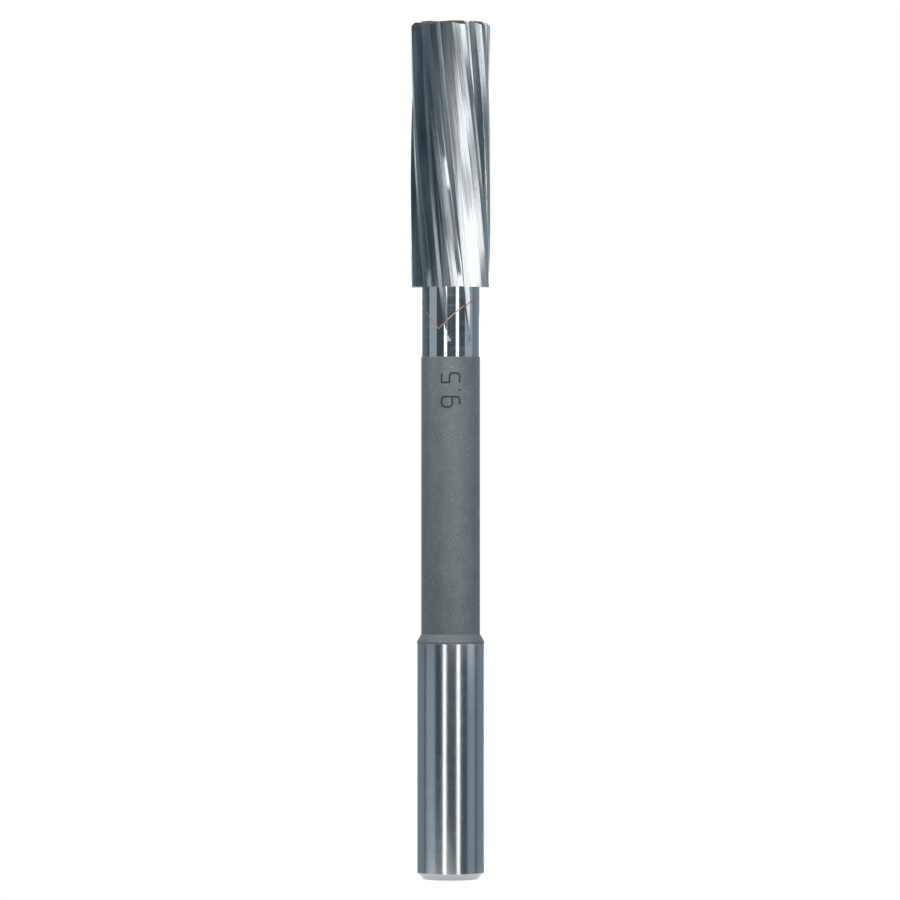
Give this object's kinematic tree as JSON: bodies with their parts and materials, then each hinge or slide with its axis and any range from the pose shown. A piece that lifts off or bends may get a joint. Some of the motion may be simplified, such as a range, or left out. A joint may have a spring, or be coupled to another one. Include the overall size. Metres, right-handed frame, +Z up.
{
  "type": "machine reamer",
  "caption": "Machine reamer with a brazed carbide head, left-hand helical flutes at unequal spacing, a slimmer neck and a plain cylindrical shank.",
  "frame": {"origin": "centre of the shank's end face, on the tool's axis", "axes": "+Z up the axis from the shank to the cutting end; -Y is the front, where the joint's ridge lies 24.2 degrees to the left"},
  "size_m": [0.0094, 0.0094, 0.102],
  "materials": {
    "carbide": "finely ground",
    "braze": "satin",
    "steel": "ground, with a blasted neck"
  },
  "bodies": {
    "root": {"cutting_head": "carbide", "braze_seam": "braze", "shank": "steel"}
  },
  "joints": []
}
